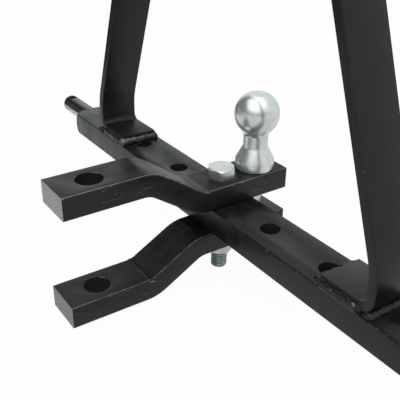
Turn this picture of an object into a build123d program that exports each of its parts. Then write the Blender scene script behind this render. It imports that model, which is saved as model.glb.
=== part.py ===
from build123d import *
from math import cos, radians, sin, sqrt, tan
import os

# Three point drawbar. Millimetres, +Z up, +Y to the tractor, -Y to the trailer. It is drawn
# about the clamp bolt's axis at the crossbar's top face, and at the end it moves forward
# so that the origin is on the axis of the drawbar pin at that level.

# Crossbar and its two turned link pins
bar_width = 57.0
bar_height = 29.0
bar_edge_radius = 1.0
shoulder_span = 666.0
shoulder_flat_radius = 14.0
shoulder_round = 18.5
link_pin_diameter = 25.4
link_pin_length = 76.0
link_pin_end_chamfer = 2.5
linch_hole_diameter = 11.0
linch_hole_from_end = 12.0

# Row of seven holes along the crossbar
hole_count = 7
hole_pitch = 88.0
bar_hole_diameter = 22.0

# Two flat arms joggled apart into a clevis behind the crossbar
arm_width = 50.0
arm_thickness = 25.0
arm_front_reach = 76.0
arm_rear_reach = 200.0
arm_inner_bend = 21.5
arm_edge_chamfer = 1.2
upper_joggle_rise = 40.0
upper_joggle_angle = 34.0
upper_joggle_centre = -72.0
lower_joggle_drop = 32.0
lower_joggle_angle = 29.0
lower_joggle_centre = -74.0
drawbar_hole_diameter = 28.5
drawbar_hole_setback = 160.0

# Clamp bolt and nuts
bolt_diameter = 19.0
bolt_end_chamfer = 1.6
bolt_head_height = 12.0
bolt_head_turn = 25.0
bolt_drop = 93.0
hex_across_flats = 28.6
hex_chamfer_rise = 1.5
nut_height = 16.3
nut_thread_clearance = 0.3
arm_hole_clearance = 0.6

# Tow ball
ball_diameter = 50.8
ball_rise = 64.5
ball_reach = 47.0
ball_flat_radius = 10.0
ball_neck_diameter = 28.2
ball_neck_upper_fillet = 8.0
ball_neck_lower_fillet = 4.0
ball_flange_diameter = 45.0
ball_flange_thickness = 10.5
ball_flare_height = 16.0
ball_flange_chamfer = 0.8
ball_shank_drop = 84.0

# Two bent strap stays
strap_width = 50.0
strap_thickness = 10.0
strap_edge_chamfer = 0.8
foot_end = 189.0
stay_outer_face = 252.0
foot_inner_bend = 8.0
stay_lean_start = 43.3
stay_lean_angle = 20.2
stay_lean_inner_bend = 75.0
ear_gap = 64.0
ear_bend = 32.0
ear_hole_rise = 27.0
ear_top_margin = 25.0
ear_corner_radius = 22.0

# Weld runs at the stays' feet
side_weld_height = 7.0
toe_weld_leg = 8.0
weld_end_inset = 1.0
weld_bulge = 1.2
heel_weld_reach = 4.0
heel_weld_root_angle = 22.0
heel_weld_top_angle = 52.0
heel_weld_gap = 0.2

# Top link pin, linch pin and spring ring
top_pin_diameter = 19.0
top_pin_clearance = 0.1
top_pin_head_diameter = 32.0
top_pin_head_thickness = 9.0
top_pin_head_chamfer = 1.5
top_pin_end_chamfer = 2.5
top_pin_side_play = 0.3
top_pin_tail = 26.0
linch_offset = 11.0
linch_diameter = 9.5
linch_clearance = 0.1
linch_tip_drop = 26.0
linch_tip_chamfer = 2.0
linch_head_radius = 7.0
linch_head_width = 10.0
linch_head_seat = 0.3
ring_radius = 26.0
ring_wire_diameter = 3.5
ring_wire_side_count = 8
ring_bore_clearance = 1.0
ring_end_gap_angle = 8.0

# Levels and positions that follow from the sizes above
shoulder_x = shoulder_span / 2
pin_end_x = shoulder_x + link_pin_length
pin_axis_z = -bar_height / 2
arm_top_z = arm_thickness
lower_arm_top_z = -bar_height
lower_arm_bottom_z = lower_arm_top_z - arm_thickness
nut_top_z = lower_arm_bottom_z
arm_bore_diameter = bolt_diameter + 2 * arm_hole_clearance
nut_bore_diameter = bolt_diameter + 2 * nut_thread_clearance
hex_corner_radius = hex_across_flats / sqrt(3)
foot_outer_bend = foot_inner_bend + strap_thickness
stay_lean_outer_bend = stay_lean_inner_bend + strap_thickness
foot_flat_end = stay_outer_face - foot_outer_bend
ear_outer_x = ear_gap / 2 + strap_thickness
ear_bend_z = stay_lean_start + (stay_outer_face - ear_outer_x) / tan(radians(stay_lean_angle))
ear_hole_z = ear_bend_z + ear_hole_rise
ear_top_z = ear_hole_z + ear_top_margin
ear_hole_diameter = top_pin_diameter + 2 * top_pin_clearance
linch_x = -(ear_outer_x + linch_offset)
linch_head_z = ear_hole_z + top_pin_diameter / 2 + linch_head_seat + linch_head_radius
ring_bore_diameter = ring_wire_diameter + 2 * ring_bore_clearance

# Crossbar: solid flat bar with both ends turned down to a link pin
with BuildPart() as crossbar:
    with BuildSketch(Plane.YZ.offset(-shoulder_x)):
        with Locations((0, pin_axis_z)):
            RectangleRounded(bar_width, bar_height, bar_edge_radius)
    extrude(amount=shoulder_span)
    # Turning leaves a flat shoulder round each pin and rounds off the bar's corners
    with BuildSketch(Plane.XZ):
        with BuildLine():
            flat_z = pin_axis_z + shoulder_flat_radius
            round_x = shoulder_x - shoulder_round
            round_z = flat_z + shoulder_round
            Polyline(
                (-shoulder_x, flat_z),
                (-shoulder_x, pin_axis_z),
                (shoulder_x, pin_axis_z),
                (shoulder_x, flat_z),
            )
            RadiusArc((shoulder_x, flat_z), (round_x, round_z), -shoulder_round)
            Line((round_x, round_z), (-round_x, round_z))
            RadiusArc((-round_x, round_z), (-shoulder_x, flat_z), -shoulder_round)
        make_face()
    revolve(axis=Axis((0, 0, pin_axis_z), (1, 0, 0)), mode=Mode.INTERSECT)
    for side in (-1, 1):
        with BuildSketch(Plane.YZ.offset(side * shoulder_x)):
            with Locations((0, pin_axis_z)):
                Circle(link_pin_diameter / 2)
        extrude(amount=side * link_pin_length)
    pin_rims = crossbar.edges().filter_by(GeomType.CIRCLE).group_by(Axis.X)
    chamfer(pin_rims[0] + pin_rims[-1], link_pin_end_chamfer)
    with GridLocations(hole_pitch, 0, hole_count, 1):
        Hole(bar_hole_diameter / 2)
    with BuildSketch():
        with GridLocations(2 * (pin_end_x - linch_hole_from_end), 0, 2, 1):
            Circle(linch_hole_diameter / 2)
    extrude(amount=-bar_height, mode=Mode.SUBTRACT)

# Upper arm: lies on the crossbar, its rear end raised
with BuildPart() as upper_arm:
    upper_run = upper_joggle_rise / tan(radians(upper_joggle_angle))
    upper_shift = arm_thickness / 2 * tan(radians(upper_joggle_angle / 2))
    upper_mid = upper_joggle_centre - upper_shift
    with BuildSketch(Plane.YZ):
        with BuildLine() as upper_underside:
            Polyline(
                (arm_front_reach, 0),
                (upper_mid + upper_run / 2, 0),
                (upper_mid - upper_run / 2, upper_joggle_rise),
                (-arm_rear_reach, upper_joggle_rise),
            )
            upper_corners = upper_underside.vertices().sort_by(Axis.X)
            fillet(upper_corners[2], arm_inner_bend + arm_thickness)
            fillet(upper_corners[1], arm_inner_bend)
            offset(amount=arm_thickness, side=Side.RIGHT)
        make_face()
    extrude(amount=arm_width / 2, both=True)
    upper_sides = upper_arm.faces().filter_by(Axis.X)
    chamfer(upper_sides.edges(), arm_edge_chamfer)
    with Locations((0, 0), (0, ball_reach)):
        Hole(arm_bore_diameter / 2)
    with Locations((0, -drawbar_hole_setback)):
        Hole(drawbar_hole_diameter / 2)

# Lower arm: lies under the crossbar, its rear end lowered
with BuildPart() as lower_arm:
    lower_run = lower_joggle_drop / tan(radians(lower_joggle_angle))
    lower_shift = arm_thickness / 2 * tan(radians(lower_joggle_angle / 2))
    lower_mid = lower_joggle_centre - lower_shift
    with BuildSketch(Plane.YZ):
        with BuildLine() as lower_topside:
            Polyline(
                (arm_front_reach, lower_arm_top_z),
                (lower_mid + lower_run / 2, lower_arm_top_z),
                (lower_mid - lower_run / 2, lower_arm_top_z - lower_joggle_drop),
                (-arm_rear_reach, lower_arm_top_z - lower_joggle_drop),
            )
            lower_corners = lower_topside.vertices().sort_by(Axis.X)
            fillet(lower_corners[2], arm_inner_bend + arm_thickness)
            fillet(lower_corners[1], arm_inner_bend)
            offset(amount=arm_thickness, side=Side.LEFT)
        make_face()
    extrude(amount=arm_width / 2, both=True)
    lower_sides = lower_arm.faces().filter_by(Axis.X)
    chamfer(lower_sides.edges(), arm_edge_chamfer)
    with Locations((0, 0), (0, ball_reach)):
        Hole(arm_bore_diameter / 2)
    with Locations((0, -drawbar_hole_setback)):
        Hole(drawbar_hole_diameter / 2)

# Clamp bolt: hex head on the upper arm, shank down through both arms
with BuildPart() as clamp_bolt:
    with BuildSketch(Plane.XY.offset(arm_top_z)):
        RegularPolygon(hex_across_flats / 2, 6, major_radius=False, rotation=bolt_head_turn)
    extrude(amount=bolt_head_height)
    head_top_z = arm_top_z + bolt_head_height
    with BuildSketch(Plane.XZ):
        with BuildLine():
            Polyline(
                (0, arm_top_z),
                (hex_corner_radius, arm_top_z),
                (hex_corner_radius, head_top_z - hex_chamfer_rise),
                (hex_corner_radius - hex_chamfer_rise / tan(radians(30)), head_top_z),
                (0, head_top_z),
                close=True,
            )
        make_face()
    revolve(axis=Axis.Z, mode=Mode.INTERSECT)
    with BuildSketch(Plane.XY.offset(arm_top_z)):
        Circle(bolt_diameter / 2)
    extrude(amount=-(arm_top_z + bolt_drop))
    bolt_end = clamp_bolt.edges().filter_by(GeomType.CIRCLE).sort_by(Axis.Z)[0]
    chamfer(bolt_end, bolt_end_chamfer)


def hex_nut(centre_y):
    nut_low_z = nut_top_z - nut_height
    chamfer_inset = hex_chamfer_rise / tan(radians(30))
    with BuildPart() as nut:
        with BuildSketch(Plane.XY.offset(nut_low_z)):
            with Locations((0, centre_y)):
                RegularPolygon(hex_across_flats / 2, 6, major_radius=False)
        extrude(amount=nut_height)
        with BuildSketch(Plane.XZ.offset(-centre_y)):
            with BuildLine():
                Polyline(
                    (nut_bore_diameter / 2, nut_low_z),
                    (hex_corner_radius - chamfer_inset, nut_low_z),
                    (hex_corner_radius, nut_low_z + hex_chamfer_rise),
                    (hex_corner_radius, nut_top_z),
                    (nut_bore_diameter / 2, nut_top_z),
                    close=True,
                )
            make_face()
        revolve(axis=Axis((0, centre_y, 0), (0, 0, 1)), mode=Mode.INTERSECT)
    return nut


clamp_bolt_nut = hex_nut(0)
tow_ball_nut = hex_nut(ball_reach)

# Tow ball: one turned piece from the flattened crown down to the shank's end
with BuildPart() as tow_ball:
    ball_radius = ball_diameter / 2
    ball_centre_z = arm_top_z + ball_rise
    crown_z = ball_centre_z + sqrt(ball_radius**2 - ball_flat_radius**2)
    neck_radius = ball_neck_diameter / 2
    neck_top_z = ball_centre_z - sqrt(ball_radius**2 - neck_radius**2)
    flange_top_z = arm_top_z + ball_flange_thickness
    flange_radius = ball_flange_diameter / 2
    shank_radius = bolt_diameter / 2
    with BuildSketch(Plane.XZ.offset(-ball_reach)) as ball_profile:
        with BuildLine():
            Polyline(
                (0, crown_z),
                (0, -ball_shank_drop),
                (shank_radius - bolt_end_chamfer, -ball_shank_drop),
                (shank_radius, -ball_shank_drop + bolt_end_chamfer),
                (shank_radius, arm_top_z),
                (flange_radius - ball_flange_chamfer, arm_top_z),
                (flange_radius, arm_top_z + ball_flange_chamfer),
                (flange_radius, flange_top_z),
                (neck_radius, flange_top_z + ball_flare_height),
                (neck_radius, neck_top_z),
            )
            ThreePointArc(
                (neck_radius, neck_top_z),
                (ball_radius, ball_centre_z),
                (ball_flat_radius, crown_z),
            )
            Line((ball_flat_radius, crown_z), (0, crown_z))
        make_face()
        neck_top = (neck_radius, neck_top_z)
        neck_foot = (neck_radius, flange_top_z + ball_flare_height)
        fillet(ball_profile.vertices().sort_by_distance(neck_top)[0], ball_neck_upper_fillet)
        fillet(ball_profile.vertices().sort_by_distance(neck_foot)[0], ball_neck_lower_fillet)
    revolve(axis=Axis((0, ball_reach, 0), (0, 0, 1)))

# Right stay: foot on the crossbar, riser leaning in, parallel ear at the top
with BuildPart() as right_stay:
    with BuildSketch(Plane.XZ):
        with BuildLine() as stay_outside:
            Polyline(
                (foot_end, 0),
                (stay_outer_face, 0),
                (stay_outer_face, stay_lean_start),
                (ear_outer_x, ear_bend_z),
                (ear_outer_x, ear_top_z),
            )
            stay_corners = stay_outside.vertices().sort_by(Axis.Y)
            fillet(stay_corners[3], ear_bend)
            fillet(stay_corners[2], stay_lean_outer_bend)
            fillet(stay_outside.vertices().sort_by_distance((stay_outer_face, 0))[0], foot_outer_bend)
            offset(amount=strap_thickness, side=Side.LEFT)
        make_face()
    extrude(amount=strap_width / 2, both=True)
    ear_corners = right_stay.edges().filter_by(Axis.X).group_by(Axis.Z)[-1]
    fillet(ear_corners, ear_corner_radius)
    stay_sides = right_stay.faces().filter_by(Axis.Y)
    chamfer(stay_sides.edges().filter_by(Axis.Y, reverse=True), strap_edge_chamfer)
    with BuildSketch(Plane.YZ):
        with Locations((0, ear_hole_z)):
            Circle(ear_hole_diameter / 2)
    extrude(amount=ear_outer_x + strap_thickness, mode=Mode.SUBTRACT)

# Weld across the end of the right foot
with BuildPart() as right_stay_toe_weld:
    with BuildSketch(Plane.XZ):
        with BuildLine():
            toe_mid = toe_weld_leg / 2 + weld_bulge
            Polyline((foot_end, toe_weld_leg), (foot_end, 0), (foot_end - toe_weld_leg, 0))
            ThreePointArc(
                (foot_end - toe_weld_leg, 0),
                (foot_end - toe_mid, toe_mid),
                (foot_end, toe_weld_leg),
            )
        make_face()
    extrude(amount=strap_width / 2 - weld_end_inset, both=True)

# Weld along the trailer side of the right foot
with BuildPart() as right_stay_rear_weld:
    with BuildSketch(Plane.YZ.offset(foot_end + weld_end_inset)):
        with BuildLine():
            side_y = -strap_width / 2
            ledge_y = -bar_width / 2 + bar_edge_radius
            Polyline((side_y, side_weld_height), (side_y, 0), (ledge_y, 0))
            ThreePointArc(
                (ledge_y, 0),
                ((side_y + ledge_y) / 2 - weld_bulge / 2, side_weld_height / 2 + weld_bulge / 2),
                (side_y, side_weld_height),
            )
        make_face()
    extrude(amount=foot_flat_end - foot_end - weld_end_inset)

with BuildPart() as right_stay_front_weld:
    mirror(right_stay_rear_weld.part, about=Plane.XZ)

# Weld in the wedge under the right foot's outer bend
with BuildPart() as right_stay_heel_weld:
    with BuildSketch(Plane.XZ):
        with BuildLine():
            heel_radius = foot_outer_bend + heel_weld_gap
            heel_points = [
                (
                    foot_flat_end + heel_radius * sin(radians(angle)),
                    foot_outer_bend - heel_radius * cos(radians(angle)),
                )
                for angle in (
                    heel_weld_root_angle,
                    (heel_weld_root_angle + heel_weld_top_angle) / 2,
                    heel_weld_top_angle,
                )
            ]
            heel_toe_x = stay_outer_face + heel_weld_reach
            heel_top_x, heel_top_z = heel_points[2]
            ThreePointArc(*heel_points)
            ThreePointArc(
                heel_points[2],
                ((heel_top_x + heel_toe_x) / 2 + weld_bulge / 2, heel_top_z / 2 + weld_bulge),
                (heel_toe_x, 0),
            )
            Polyline((heel_toe_x, 0), (heel_points[0][0], 0), heel_points[0])
        make_face()
    extrude(amount=strap_width / 2 - weld_end_inset, both=True)

# Left stay and its welds mirror the right ones
with BuildPart() as left_stay:
    mirror(right_stay.part, about=Plane.YZ)
with BuildPart() as left_stay_toe_weld:
    mirror(right_stay_toe_weld.part, about=Plane.YZ)
with BuildPart() as left_stay_rear_weld:
    mirror(right_stay_rear_weld.part, about=Plane.YZ)
with BuildPart() as left_stay_front_weld:
    mirror(right_stay_front_weld.part, about=Plane.YZ)
with BuildPart() as left_stay_heel_weld:
    mirror(right_stay_heel_weld.part, about=Plane.YZ)

# Top link pin: head outside the right ear, cross hole outside the left ear
with BuildPart() as top_link_pin:
    head_x = ear_outer_x + top_pin_side_play
    with BuildSketch(Plane.YZ.offset(head_x)):
        with Locations((0, ear_hole_z)):
            Circle(top_pin_head_diameter / 2)
    extrude(amount=top_pin_head_thickness)
    head_rim = top_link_pin.edges().filter_by(GeomType.CIRCLE).sort_by(Axis.X)[-1]
    chamfer(head_rim, top_pin_head_chamfer)
    with BuildSketch(Plane.YZ.offset(head_x)):
        with Locations((0, ear_hole_z)):
            Circle(top_pin_diameter / 2)
    extrude(amount=-(head_x + ear_outer_x + top_pin_tail))
    tail_rim = top_link_pin.edges().filter_by(GeomType.CIRCLE).sort_by(Axis.X)[0]
    chamfer(tail_rim, top_pin_end_chamfer)
    with BuildSketch(Plane.XY.offset(ear_hole_z)):
        with Locations((linch_x, 0)):
            Circle(linch_diameter / 2 + linch_clearance)
    extrude(amount=top_pin_diameter, both=True, mode=Mode.SUBTRACT)

# Linch pin: shank through the top link pin, round head with a bore for the ring
with BuildPart() as linch_pin:
    with BuildSketch(Plane.XY.offset(ear_hole_z - linch_tip_drop)):
        with Locations((linch_x, 0)):
            Circle(linch_diameter / 2)
    extrude(amount=linch_head_z - ear_hole_z + linch_tip_drop)
    linch_tip = linch_pin.edges().filter_by(GeomType.CIRCLE).sort_by(Axis.Z)[0]
    chamfer(linch_tip, linch_tip_chamfer)
    with BuildSketch(Plane.XZ):
        with Locations((linch_x, linch_head_z)):
            Circle(linch_head_radius)
    extrude(amount=linch_head_width / 2, both=True)
    with BuildSketch(Plane.XZ):
        with Locations((linch_x, linch_head_z)):
            Circle(ring_bore_diameter / 2)
    extrude(amount=linch_head_width, both=True, mode=Mode.SUBTRACT)

# Spring ring: wire whose two ends meet inside the linch pin's head, drawn with eight flats
with BuildPart() as linch_pin_ring:
    ring_centre_z = linch_head_z - ring_radius
    half_gap = radians(ring_end_gap_angle / 2)
    with BuildSketch(
        Plane(
            origin=(linch_x, ring_radius * sin(half_gap), ring_centre_z + ring_radius * cos(half_gap)),
            x_dir=(1, 0, 0),
            z_dir=(0, -cos(half_gap), sin(half_gap)),
        )
    ):
        RegularPolygon(ring_wire_diameter / 2, ring_wire_side_count)
    revolve(
        axis=Axis((linch_x, 0, ring_centre_z), (-1, 0, 0)),
        revolution_arc=360 - ring_end_gap_angle,
    )

pieces = {
    "crossbar": crossbar,
    "upper_arm": upper_arm,
    "lower_arm": lower_arm,
    "clamp_bolt": clamp_bolt,
    "clamp_bolt_nut": clamp_bolt_nut,
    "tow_ball": tow_ball,
    "tow_ball_nut": tow_ball_nut,
    "left_stay": left_stay,
    "left_stay_toe_weld": left_stay_toe_weld,
    "left_stay_rear_weld": left_stay_rear_weld,
    "left_stay_front_weld": left_stay_front_weld,
    "left_stay_heel_weld": left_stay_heel_weld,
    "right_stay": right_stay,
    "right_stay_toe_weld": right_stay_toe_weld,
    "right_stay_rear_weld": right_stay_rear_weld,
    "right_stay_front_weld": right_stay_front_weld,
    "right_stay_heel_weld": right_stay_heel_weld,
    "top_link_pin": top_link_pin,
    "linch_pin": linch_pin,
    "linch_pin_ring": linch_pin_ring,
}

to_drawbar_pin = Location((0, drawbar_hole_setback, 0))
os.makedirs("parts", exist_ok=True)
for piece_name, piece in pieces.items():
    placed = piece.part.moved(to_drawbar_pin)
    placed.label = piece_name
    export_step(placed, f"parts/{piece_name}.step")
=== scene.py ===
import math

import bmesh
import bpy
from mathutils import Matrix, Vector


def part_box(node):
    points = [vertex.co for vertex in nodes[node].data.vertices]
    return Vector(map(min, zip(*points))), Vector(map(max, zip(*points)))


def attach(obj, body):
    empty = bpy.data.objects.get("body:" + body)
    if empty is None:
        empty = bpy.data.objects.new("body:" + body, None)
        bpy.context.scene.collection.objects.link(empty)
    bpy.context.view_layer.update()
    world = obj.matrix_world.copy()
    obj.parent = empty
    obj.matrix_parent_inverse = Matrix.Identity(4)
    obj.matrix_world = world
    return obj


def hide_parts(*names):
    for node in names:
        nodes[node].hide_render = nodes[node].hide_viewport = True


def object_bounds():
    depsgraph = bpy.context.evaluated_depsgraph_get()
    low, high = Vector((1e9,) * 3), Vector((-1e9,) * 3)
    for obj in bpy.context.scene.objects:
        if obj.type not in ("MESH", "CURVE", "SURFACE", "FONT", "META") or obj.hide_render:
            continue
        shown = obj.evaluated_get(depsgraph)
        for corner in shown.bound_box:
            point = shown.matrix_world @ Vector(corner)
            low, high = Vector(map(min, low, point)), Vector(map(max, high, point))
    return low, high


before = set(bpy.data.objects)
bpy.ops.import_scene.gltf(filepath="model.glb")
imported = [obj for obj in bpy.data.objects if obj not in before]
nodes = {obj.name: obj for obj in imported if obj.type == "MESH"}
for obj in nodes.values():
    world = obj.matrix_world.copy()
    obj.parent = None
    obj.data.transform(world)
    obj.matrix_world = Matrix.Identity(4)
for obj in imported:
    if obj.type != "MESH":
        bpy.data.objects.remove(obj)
cad_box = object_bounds()
scene = bpy.context.scene
scene.view_settings.view_transform = "Standard"

# Camera: the photograph was taken from behind and to the right of the drawbar, looking
# down on the clevis with a short tele lens. Its place was solved from the bar's edges.
camera_place = Vector((0.53132, -0.23503, 0.35227))
camera_azimuth = math.radians(55.40)
camera_elevation = math.radians(28.45)
camera_roll = math.radians(0.77)
photo_width_px = 400
focal_length_px = 657.3
nearest_seen = 0.01


def put(name, data):
    made = bpy.data.objects.new(name, data)
    scene.collection.objects.link(made)
    return made


backwards = Vector((
    math.sin(camera_azimuth) * math.cos(camera_elevation),
    -math.cos(camera_azimuth) * math.cos(camera_elevation),
    math.sin(camera_elevation),
))
level_right = (-backwards).cross(Vector((0, 0, 1))).normalized()
level_up = level_right.cross(-backwards)
camera_right = level_right * math.cos(camera_roll) + level_up * math.sin(camera_roll)
camera_up = level_up * math.cos(camera_roll) - level_right * math.sin(camera_roll)
camera_data = bpy.data.cameras.new("photo_camera")
camera_data.lens = camera_data.sensor_width * focal_length_px / photo_width_px
camera_data.clip_start = nearest_seen
camera = put("photo_camera", camera_data)
camera.matrix_world = Matrix.Translation(camera_place) @ Matrix(
    (camera_right, camera_up, backwards)
).transposed().to_4x4()
scene.camera = camera

# Studio: white paper under the drawbar, a bright wall in front of it, a broad soft box overhead
# and a weaker lamp at the camera's right. Behind the drawbar the rounded edges and the turned
# metal mirror a dim room, which also shows past the paper's left end.
paper_size = 12.0
paper_clearance = 0.0005
paper_left_x = -0.60
paper_fade = 0.25
paper_gloss = 0.76
paper_direct = 0.965
paper_white = (0.86, 0.86, 0.86, 1)
wall_white = (1, 1, 1, 1)
mirrored_white = (0.93, 1.0, 0.975, 1)
room_far_grey = (0.10, 0.105, 0.105, 1)
room_near_grey = (0.15, 0.14, 0.13, 1)
room_foot_fade = 0.14
room_top_fade = -0.12
soft_box_white = (2.2, 2.2, 2.2, 1)
soft_box_way = (0.22, -0.24, 0.945)
soft_box_edge = 0.58
soft_box_full = 0.92
sky_grey = (0.34, 0.35, 0.345, 1)
object_middle = (0, 0.16, 0.08)


def add_node(tree, kind, **settings):
    made = tree.nodes.new(kind)
    for name, value in settings.items():
        setattr(made, name, value)
    return made


def feed(tree, target, source):
    if isinstance(source, bpy.types.NodeSocket):
        tree.links.new(source, target)
    else:
        target.default_value = source


def wired(tree, kind, sources, output=0, **settings):
    made = add_node(tree, kind, **settings)
    for label, source in sources.items():
        feed(tree, made.inputs[label], source)
    return made.outputs[output]


def calculate(tree, operation, first, second=0.0, clamp=False):
    return wired(tree, "ShaderNodeMath", {0: first, 1: second}, operation=operation, use_clamp=clamp)


def plus(tree, first, second):
    return calculate(tree, "ADD", first, second)


def minus(tree, first, second):
    return calculate(tree, "SUBTRACT", first, second)


def product(tree, first, *others):
    for other in others:
        first = calculate(tree, "MULTIPLY", first, other)
    return first


def greater(tree, first, second):
    return calculate(tree, "MAXIMUM", first, second)


def stretch(tree, value, low, high, new_low=0.0, new_high=1.0):
    sources = dict(enumerate((value, low, high, new_low, new_high)))
    return wired(tree, "ShaderNodeMapRange", sources, interpolation_type="SMOOTHSTEP")


def past(tree, value, limit, fade):
    return stretch(tree, value, limit, plus(tree, limit, fade))


def blend_colour(tree, factor, first, second):
    return wired(tree, "ShaderNodeMix", {0: factor, 6: first, 7: second}, 2, data_type="RGBA")


def vector_step(tree, operation, first, second, output=0):
    sources = {0: first, "Scale" if operation == "SCALE" else 1: second}
    return wired(tree, "ShaderNodeVectorMath", sources, output, operation=operation)


def split(tree, vector):
    made = add_node(tree, "ShaderNodeSeparateXYZ")
    feed(tree, made.inputs[0], vector)
    return made.outputs


world = bpy.data.worlds.new("white studio")
world.use_nodes = True
sky = world.node_tree
sky.nodes.clear()
sky_path = add_node(sky, "ShaderNodeLightPath").outputs
mirrored = greater(sky, sky_path["Is Glossy Ray"], sky_path["Is Transmission Ray"])
sky_way = add_node(sky, "ShaderNodeTexCoord").outputs["Generated"]
sky_axes = split(sky, sky_way)
near_share = stretch(sky, sky_axes["X"], -0.55, 0.25)
room_top = stretch(sky, sky_axes["X"], -0.50, 0.20, 0.80, 0.39)
room_foot = stretch(sky, sky_axes["X"], -0.60, -0.20, -0.04, 0.08)
room_share = product(
    sky, mirrored, past(sky, sky_axes["Z"], room_foot, room_foot_fade),
    past(sky, sky_axes["Z"], room_top, room_top_fade), stretch(sky, sky_axes["Y"], 0.26, -0.06))
towards_box = vector_step(sky, "DOT_PRODUCT", sky_way, soft_box_way, "Value")
box_share = product(sky, mirrored, stretch(sky, towards_box, soft_box_edge, soft_box_full))
seen_wall = blend_colour(sky, mirrored, wall_white, mirrored_white)
lit_wall = blend_colour(sky, box_share, seen_wall, soft_box_white)
room = blend_colour(sky, near_share, room_far_grey, room_near_grey)
backdrop = wired(sky, "ShaderNodeBackground", {"Color": blend_colour(sky, room_share, lit_wall, room)})
room_light = wired(sky, "ShaderNodeBackground", {"Color": sky_grey})
sky_seen = greater(sky, sky_path["Is Camera Ray"], mirrored)
sky_mix = wired(sky, "ShaderNodeMixShader", {0: sky_seen, 1: room_light, 2: backdrop})
feed(sky, add_node(sky, "ShaderNodeOutputWorld").inputs["Surface"], sky_mix)
scene.world = world

paper = bpy.data.materials.new("white_paper")
paper.use_nodes = True
sheet = paper.node_tree
sheet.nodes.clear()
paper_path = add_node(sheet, "ShaderNodeLightPath").outputs
glossy = paper_path["Is Glossy Ray"]
sheet_x = split(sheet, add_node(sheet, "ShaderNodeTexCoord").outputs["Object"])["X"]
past_paper = product(sheet, stretch(sheet, sheet_x, paper_left_x, paper_left_x - paper_fade), glossy)
glow_colour = blend_colour(sheet, past_paper, wall_white, room_far_grey)
glossy_share = product(sheet, glossy, stretch(sheet, past_paper, 0.0, 1.0, paper_gloss, 1.0))
direct_share = product(
    sheet, paper_direct, greater(sheet, paper_path["Is Camera Ray"], paper_path["Is Transmission Ray"]))
paper_mix = wired(sheet, "ShaderNodeMixShader", {
    0: greater(sheet, glossy_share, direct_share),
    1: wired(sheet, "ShaderNodeBsdfDiffuse", {"Color": paper_white}),
    2: wired(sheet, "ShaderNodeEmission", {"Color": glow_colour})})
feed(sheet, add_node(sheet, "ShaderNodeOutputMaterial").inputs["Surface"], paper_mix)

floor_mesh = bpy.data.meshes.new("floor")
paper_half = paper_size / 2
paper_z = cad_box[0][2] - paper_clearance
floor_mesh.from_pydata(
    [(x * paper_half, y * paper_half, paper_z) for x, y in ((-1, -1), (1, -1), (1, 1), (-1, 1))],
    [], [(0, 1, 2, 3)])
floor_mesh.materials.append(paper)
floor = put("floor", floor_mesh)

for lamp_name, lamp_place, lamp_size, lamp_power in (
    ("overhead_lamp", (0.05, -0.35, 1.9), 2.6, 34),
    ("right_lamp", (1.9, -0.9, 0.9), 1.0, 9),
):
    lamp_data = bpy.data.lights.new(lamp_name, "AREA")
    lamp_data.size = lamp_size
    lamp_data.energy = lamp_power
    lamp = put(lamp_name, lamp_data)
    lamp.location = lamp_place
    lamp.visible_glossy = False
    lamp_aim = Vector(lamp_place) - Vector(object_middle)
    lamp.rotation_euler = lamp_aim.to_track_quat("Z", "Y").to_euler()

# Crossbar: a solid hot rolled flat, both ends turned down in the lathe to a link pin, seven
# drilled holes along it. It is sprayed satin black, rubbed and chipped by handling, with a
# painted shade line of near-black matt enamel along its long corners; the turned pins stay
# nearly bare under an oily brown film, with a painted highlight streak on their lower near side.
FLOAT, COLOUR, VECTOR = "NodeSocketFloat", "NodeSocketColor", "NodeSocketVector"
enamel_dark = (0.0050, 0.0062, 0.0058, 1)
enamel_light = (0.0092, 0.0112, 0.0105, 1)
enamel_thin = (0.018, 0.019, 0.018, 1)
painted_shade_black = (0.0012, 0.0014, 0.0013, 1)
enamel_brown = (0.0125, 0.0108, 0.0078, 1)
bore_dark = (0.0042, 0.0044, 0.0042, 1)
bare_steel_and_highlight = (0.34, 0.34, 0.325, 1)
oiled_steel = (0.024, 0.021, 0.018, 1)
oil_film = (0.008, 0.007, 0.006, 1)
pin_highlight_steel = (0.42, 0.41, 0.38, 1)
enamel_shine = 0.24
film_relief = 0.00009
scratch_strength = 0.45
bare_rough = 0.36
bare_metallic = 0.6
bar_middle_y = 0.160
bar_half_width = 0.0285
bar_edge_round = 0.0009
bar_hole_radius = 0.011
hole_pitch = 0.088
holes_each_side = 3
shoulder_x = 0.333
shoulder_blend = 0.0004
pin_radius = 0.0127
pin_highlight_top_z = -0.0122
pin_highlight_full_z = -0.0140
bore_match = 0.0001
bore_wall_lean = 0.3
merge_distance = 1e-6
flat_within = math.radians(0.3)


def noise(tree, where, scale, detail=4.0, roughness=0.55):
    sources = {"Vector": where, "Scale": scale, "Detail": detail, "Roughness": roughness}
    return wired(tree, "ShaderNodeTexNoise", sources, "Fac")


def grain(tree, where, scales, detail=4.0, roughness=0.55):
    drawn_out = wired(tree, "ShaderNodeMapping", {"Vector": where, "Scale": scales})
    return noise(tree, drawn_out, 1.0, detail, roughness)


def blend_value(tree, factor, first, second):
    return wired(tree, "ShaderNodeMix", {0: factor, 2: first, 3: second}, data_type="FLOAT")


def object_place(tree):
    return add_node(tree, "ShaderNodeTexCoord").outputs["Object"]


def new_group(name, inputs, outputs):
    group = bpy.data.node_groups.new(name, "ShaderNodeTree")
    for label, kind, value in inputs:
        group.interface.new_socket(label, in_out="INPUT", socket_type=kind).default_value = value
    for label, kind in outputs:
        group.interface.new_socket(label, in_out="OUTPUT", socket_type=kind)
    return group, add_node(group, "NodeGroupInput").outputs, add_node(group, "NodeGroupOutput").inputs


def place_group(tree, group, **values):
    made = add_node(tree, "ShaderNodeGroup", node_tree=group)
    for label, value in values.items():
        feed(tree, made.inputs[label.replace("_", " ")], value)
    return made.outputs


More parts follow.
